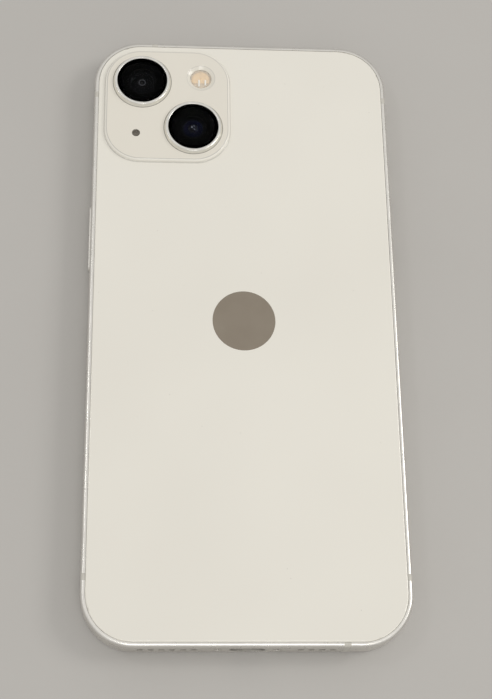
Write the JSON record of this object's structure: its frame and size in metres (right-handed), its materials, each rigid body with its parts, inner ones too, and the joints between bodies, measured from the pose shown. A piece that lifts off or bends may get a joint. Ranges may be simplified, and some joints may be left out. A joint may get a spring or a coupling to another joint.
{
  "type": "smartphone",
  "caption": "Slab smartphone with glass front and rear, a metal frame, a raised square camera plateau with diagonal lenses, side buttons, a card tray and a charging socket.",
  "frame": {"origin": "centre of the display glass's outer face, which is the plane that the phone lies on", "axes": "+Y along the phone to the end with the cameras, +Z out of the rear glass, +X to the side with the volume buttons"},
  "size_m": [0.0724, 0.1466, 0.0096],
  "materials": {
    "frame_metal": "satin anodised",
    "break_plastic": "satin moulded",
    "rear_glass": "polished, opaque white backing",
    "display_glass": "polished, black backing",
    "lens_glass": "polished, dark coated",
    "clear_glass": "polished",
    "lens_metal": "satin turned",
    "emblem_metal": "polished",
    "black_plastic": "moulded",
    "phosphor": "moulded silicone",
    "steel": "stamped",
    "screw_metal": "polished",
    "black_mesh": "woven mesh",
    "mesh_metal": "woven mesh",
    "circuit": "solder mask",
    "flex_film": "polyimide film",
    "chip": "moulded",
    "battery_foil": "wrapped pouch",
    "bond": "pressure-sensitive bond",
    "seal_rubber": "moulded",
    "copper": "enamelled winding",
    "gold": "plated",
    "ferrite": "sintered sheet",
    "magnet": "nickel plated",
    "tungsten": "sintered",
    "display": "laminated film"
  },
  "bodies": {
    "phone_body": {"antenna_breaks": "break_plastic", "battery": "battery_foil", "battery_adhesive": "bond", "board_chips": "chip", "board_screws": "steel", "board_shields": "steel", "bottom_meshes": "black_mesh", "bottom_screws": "screw_metal", "button_seals": "seal_rubber", "button_switches": "steel", "camera_bracket": "steel", "charge_socket_contacts": "gold", "charge_socket_flex": "flex_film", "charge_socket_shell": "black_plastic", "charging_coil": "copper", "charging_magnets": "magnet", "coil_shield": "ferrite", "display_back_plate": "steel", "display_flex": "flex_film", "display_frame": "black_plastic", "display_gasket": "bond", "display_panel": "display", "earpiece_mesh": "black_mesh", "earpiece_speaker": "black_plastic", "face_sensor_module": "black_plastic", "flash_led": "phosphor", "flash_window": "clear_glass", "front_camera": "black_plastic", "front_glass": "display_glass", "haptic_motor_case": "steel", "haptic_motor_lid": "steel", "image_sensors": "chip", "logic_board": "circuit", "loudspeaker": "black_plastic", "microphones": "steel", "mid_frame": "frame_metal", "rear_emblem": "emblem_metal", "rear_glass": "rear_glass", "rear_glass_adhesive": "bond", "rear_inner_plate": "steel", "rear_microphone_mesh": "mesh_metal", "ring_switch_module": "black_plastic", "sim_reader": "steel", "ultrawide_camera_barrel": "black_plastic", "ultrawide_camera_cover": "lens_glass", "ultrawide_camera_housing": "black_plastic", "ultrawide_camera_ring": "lens_metal", "wide_camera_cover": "lens_glass", "wide_camera_housing": "black_plastic", "wide_camera_ring": "lens_metal"},
    "side_button_body": {"side_button": "frame_metal"},
    "volume_up_body": {"volume_up_button": "frame_metal"},
    "volume_down_body": {"volume_down_button": "frame_metal"},
    "ring_switch_body": {"ring_switch_lever": "frame_metal"},
    "sim_tray_body": {"sim_tray": "frame_metal", "sim_tray_seal": "seal_rubber"},
    "eject_rod_body": {"sim_eject_rod": "steel"},
    "eject_lever_body": {"sim_eject_lever": "steel"},
    "haptic_mass_body": {"haptic_motor_mass": "tungsten"},
    "focus_barrel_body": {"wide_camera_barrel": "black_plastic"}
  },
  "joints": [
    {"name": "side_button_press", "type": "slide", "parent": "phone_body", "child": "side_button_body", "axis": [1, 0, 0], "range_m": [0, 0.00025], "stiffness_N_per_m": 4000, "springref_m": -0.00005},
    {"name": "volume_up_press", "type": "slide", "parent": "phone_body", "child": "volume_up_body", "axis": [-1, 0, 0], "range_m": [0, 0.00025], "stiffness_N_per_m": 4000, "springref_m": -0.00005},
    {"name": "volume_down_press", "type": "slide", "parent": "phone_body", "child": "volume_down_body", "axis": [-1, 0, 0], "range_m": [0, 0.00025], "stiffness_N_per_m": 4000, "springref_m": -0.00005},
    {"name": "ring_switch_slide", "type": "slide", "parent": "phone_body", "child": "ring_switch_body", "axis": [0, 0, 1], "range_m": [0, 0.0009]},
    {"name": "sim_tray_slide", "type": "slide", "parent": "phone_body", "child": "sim_tray_body", "axis": [1, 0, 0], "range_m": [0, 0.015]},
    {"name": "eject_rod_press", "type": "slide", "parent": "phone_body", "child": "eject_rod_body", "axis": [-1, 0, 0], "range_m": [0, 0.0015]},
    {"name": "eject_lever_turn", "type": "hinge", "parent": "phone_body", "child": "eject_lever_body", "pos_m": [0.0184, -0.0107, 0.0038], "axis": [0, 0, -1], "range_deg": [0, 17]},
    {"name": "haptic_mass_shake", "type": "slide", "parent": "phone_body", "child": "haptic_mass_body", "axis": [1, 0, 0], "range_m": [-0.0006, 0.0006], "stiffness_N_per_m": 1200},
    {"name": "focus_travel", "type": "slide", "parent": "phone_body", "child": "focus_barrel_body", "axis": [0, 0, 1], "range_m": [0, 0.0003], "stiffness_N_per_m": 100, "springref_m": -0.00005}
  ],
  "couplings": [
    {"joint": "eject_lever_turn", "follows": "eject_rod_press", "rad_per_m": 192.31}
  ]
}
